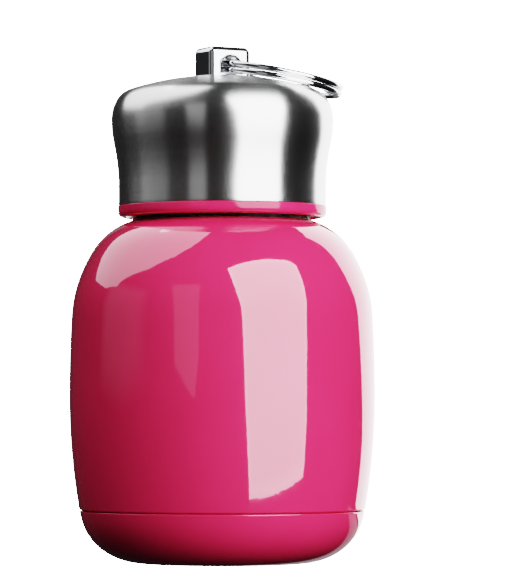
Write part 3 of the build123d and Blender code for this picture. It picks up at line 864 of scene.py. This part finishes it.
def softbox(name, corners, power, edge=1.0, fade=0.0, shares=PANEL_SHARES, distance=LIGHT_RADIUS):
    """A light panel from corners of (azimuth, elevation) in degrees, seen from the flask.

    Azimuth 0 is -Y and 90 is +X. The edge factor brightens or darkens its border, fade dims it towards its
    lower end, and the shares are the sizes of its nested outlines.
    """

    def at(azimuth, elevation):
        a, e = math.radians(azimuth), math.radians(elevation)
        heading = Vector((math.sin(a) * math.cos(e), -math.cos(a) * math.cos(e), math.sin(e)))
        return LIGHT_CENTRE + heading * distance

    outline = [at(a, e) for a, e in corners]
    middle = sum(outline, Vector()) / len(outline)
    mesh_points, glow = [], []
    tops, bottoms = max(p.z for p in outline), min(p.z for p in outline)
    for share in shares:
        for p in outline:
            q = middle + (p - middle) * share
            height = (q.z - bottoms) / (tops - bottoms)
            border = edge if share > BORDER_SHARE else 1.0
            mesh_points.append(q)
            glow.append(border * (1 - fade * (1 - height)))
    mesh_points.append(middle)
    glow.append(1 - fade / 2)
    n = len(outline)
    faces = []
    for ring in range(len(shares) - 1):
        for k in range(n):
            j = (k + 1) % n
            faces.append((ring * n + k, ring * n + j, (ring + 1) * n + j, (ring + 1) * n + k))
    last = (len(shares) - 1) * n
    faces += [(last + k, last + (k + 1) % n, len(mesh_points) - 1) for k in range(n)]
    mesh = bpy.data.meshes.new(name)
    mesh.from_pydata([tuple(p) for p in mesh_points], [], faces)
    attribute = mesh.attributes.new("glow", "FLOAT", "POINT")
    attribute.data.foreach_set("value", glow)
    material = bpy.data.materials.new(name)
    material.use_nodes = True
    tree = material.node_tree
    tree.nodes.clear()
    out = tree.nodes.new("ShaderNodeOutputMaterial")
    shine = tree.nodes.new("ShaderNodeEmission")
    shine.inputs["Color"].default_value = (1.0, 1.0, 1.0, 1.0)
    level = tree.nodes.new("ShaderNodeAttribute")
    level.attribute_name = "glow"
    times = tree.nodes.new("ShaderNodeMath")
    times.operation = "MULTIPLY"
    times.inputs[1].default_value = power
    tree.links.new(level.outputs["Fac"], times.inputs[0])
    tree.links.new(times.outputs[0], shine.inputs["Strength"])
    tree.links.new(shine.outputs[0], out.inputs["Surface"])
    mesh.materials.append(material)
    panel = bpy.data.objects.new(name, mesh)
    scene.collection.objects.link(panel)
    panel.visible_camera = False
    panel.visible_shadow = False
    panel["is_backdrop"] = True
    return panel


softbox("light_front_right", [
    (5, 45), (23, 49), (47, 49), (68, 44), (72, 40), (68, 22), (64, 0), (64, -15), (44, -19), (21, -21),
    (18, -10), (15, 5), (10, 28),
], 4.3, edge=1.12, fade=0.22)
softbox("light_right_rear", [
    (152, 47), (138, 49), (124, 48), (121, 34), (121, 18), (124, 4), (130, -6), (132, -12),
    (150, -13), (172, -13), (178, 0), (176, 20), (172, 38),
], 2.5, fade=0.1)
softbox("light_left_high", [
    (-110, 19), (-124, 19), (-134, 24), (-146, 33), (-153, 42), (-150, 54), (-138, 63), (-125, 73),
    (-134, 84), (-53, 80), (-40, 70), (-41, 60), (-51, 50), (-69, 38), (-89, 27), (-91, 17),
], 1.9, fade=0.45)
softbox("light_left_crease", [
    (-144, 57), (-136, 63), (-107, 61), (-89, 50), (-95, 49), (-112, 59),
], 3.4, distance=0.66)
softbox("light_left_low", [
    (-104, -2), (-104, 24), (-80, 27), (-56, 24), (-56, -2), (-80, -5),
], 0.19, edge=0.0, shares=SOFT_SHARES, fade=0.4)
softbox("light_front_left", [(-41, 29), (-18, 31), (-17, 3), (-20, -2), (-35, 2), (-37, 16)], 0.27)
softbox("light_low_right", [
    (119, -14), (132, -13), (178, -14), (178, -28), (150, -26), (128, -18),
], 0.34, fade=0.5)
softbox("light_behind", [(166, -6), (166, 42), (182, 50), (198, 42), (198, -6), (182, -8)], 0.12)

world = bpy.data.worlds.new("studio")
scene.world = world
world.use_nodes = True
tree = world.node_tree
tree.nodes.clear()
out = tree.nodes.new("ShaderNodeOutputWorld")
seen = tree.nodes.new("ShaderNodeBackground")
seen.inputs["Color"].default_value = (1, 1, 1, 1)
seen.inputs["Strength"].default_value = BACKDROP
fill = tree.nodes.new("ShaderNodeBackground")
fill.inputs["Color"].default_value = (1, 1, 1, 1)
path = tree.nodes.new("ShaderNodeLightPath")
level = tree.nodes.new("ShaderNodeMapRange")
level.inputs["To Min"].default_value = FILL_DIFFUSE
level.inputs["To Max"].default_value = FILL_GLOSSY
tree.links.new(path.outputs["Is Glossy Ray"], level.inputs["Value"])
heading = tree.nodes.new("ShaderNodeTexCoord")
split = tree.nodes.new("ShaderNodeSeparateXYZ")
tree.links.new(heading.outputs["Generated"], split.inputs[0])
rise = tree.nodes.new("ShaderNodeMapRange")
rise.inputs["From Min"].default_value = -0.5
rise.inputs["From Max"].default_value = 0.3
rise.inputs["To Min"].default_value = FILL_FROM_BELOW
rise.inputs["To Max"].default_value = 1.0
tree.links.new(split.outputs["Z"], rise.inputs["Value"])
times = tree.nodes.new("ShaderNodeMath")
times.operation = "MULTIPLY"
tree.links.new(level.outputs["Result"], times.inputs[0])
tree.links.new(rise.outputs["Result"], times.inputs[1])
tree.links.new(times.outputs[0], fill.inputs["Strength"])
choose = tree.nodes.new("ShaderNodeMixShader")
tree.links.new(path.outputs["Is Camera Ray"], choose.inputs[0])
tree.links.new(fill.outputs[0], choose.inputs[1])
tree.links.new(seen.outputs[0], choose.inputs[2])
tree.links.new(choose.outputs[0], out.inputs["Surface"])

bm = bmesh.new()
bmesh.ops.create_circle(bm, cap_ends=True, segments=96, radius=FLOOR_RADIUS)
floor_mesh = bpy.data.meshes.new("floor")
bm.to_mesh(floor_mesh)
bm.free()
floor = bpy.data.objects.new("floor", floor_mesh)
floor.location = (0, 0, -FLOOR_GAP)
scene.collection.objects.link(floor)
material = bpy.data.materials.new("pale_floor")
material.use_nodes = True
tree = material.node_tree
shader = tree.nodes["Principled BSDF"]
grain = tree.nodes.new("ShaderNodeTexNoise")
grain.inputs["Scale"].default_value = 3.0
tone = tree.nodes.new("ShaderNodeMix")
tone.data_type = "RGBA"
tone.inputs["A"].default_value = (0.80, 0.80, 0.80, 1)
tone.inputs["B"].default_value = (0.84, 0.84, 0.84, 1)
tree.links.new(grain.outputs["Fac"], tone.inputs["Factor"])
tree.links.new(tone.outputs["Result"], shader.inputs["Base Color"])
shader.inputs["Roughness"].default_value = 0.9
shader.inputs["Specular IOR Level"].default_value = 0.1
shader.inputs["Emission Color"].default_value = (1, 1, 1, 1)
shader.inputs["Emission Strength"].default_value = BACKDROP
floor_mesh.materials.append(material)
floor.visible_glossy = False
floor.visible_diffuse = False
floor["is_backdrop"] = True

camera_data = bpy.data.cameras.new("camera")
camera_data.lens = 223.12
camera_data.sensor_width = 36.0
camera_data.dof.use_dof = False
camera_data.clip_start = 0.01
camera_data.clip_end = 50.0
camera = bpy.data.objects.new("camera", camera_data)
scene.collection.objects.link(camera)
camera.location = (0.0, -0.950, 0.0407)
camera.rotation_euler = Vector((0.008482, 1.0, 0.031938)).to_track_quat("-Z", "Y").to_euler()
scene.camera = camera

scene.view_settings.view_transform = "Filmic"
scene.view_settings.look = "High Contrast"
scene.view_settings.exposure = 0.45
scene.view_settings.gamma = 1.0

bpy.context.view_layer.update()
low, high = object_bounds()
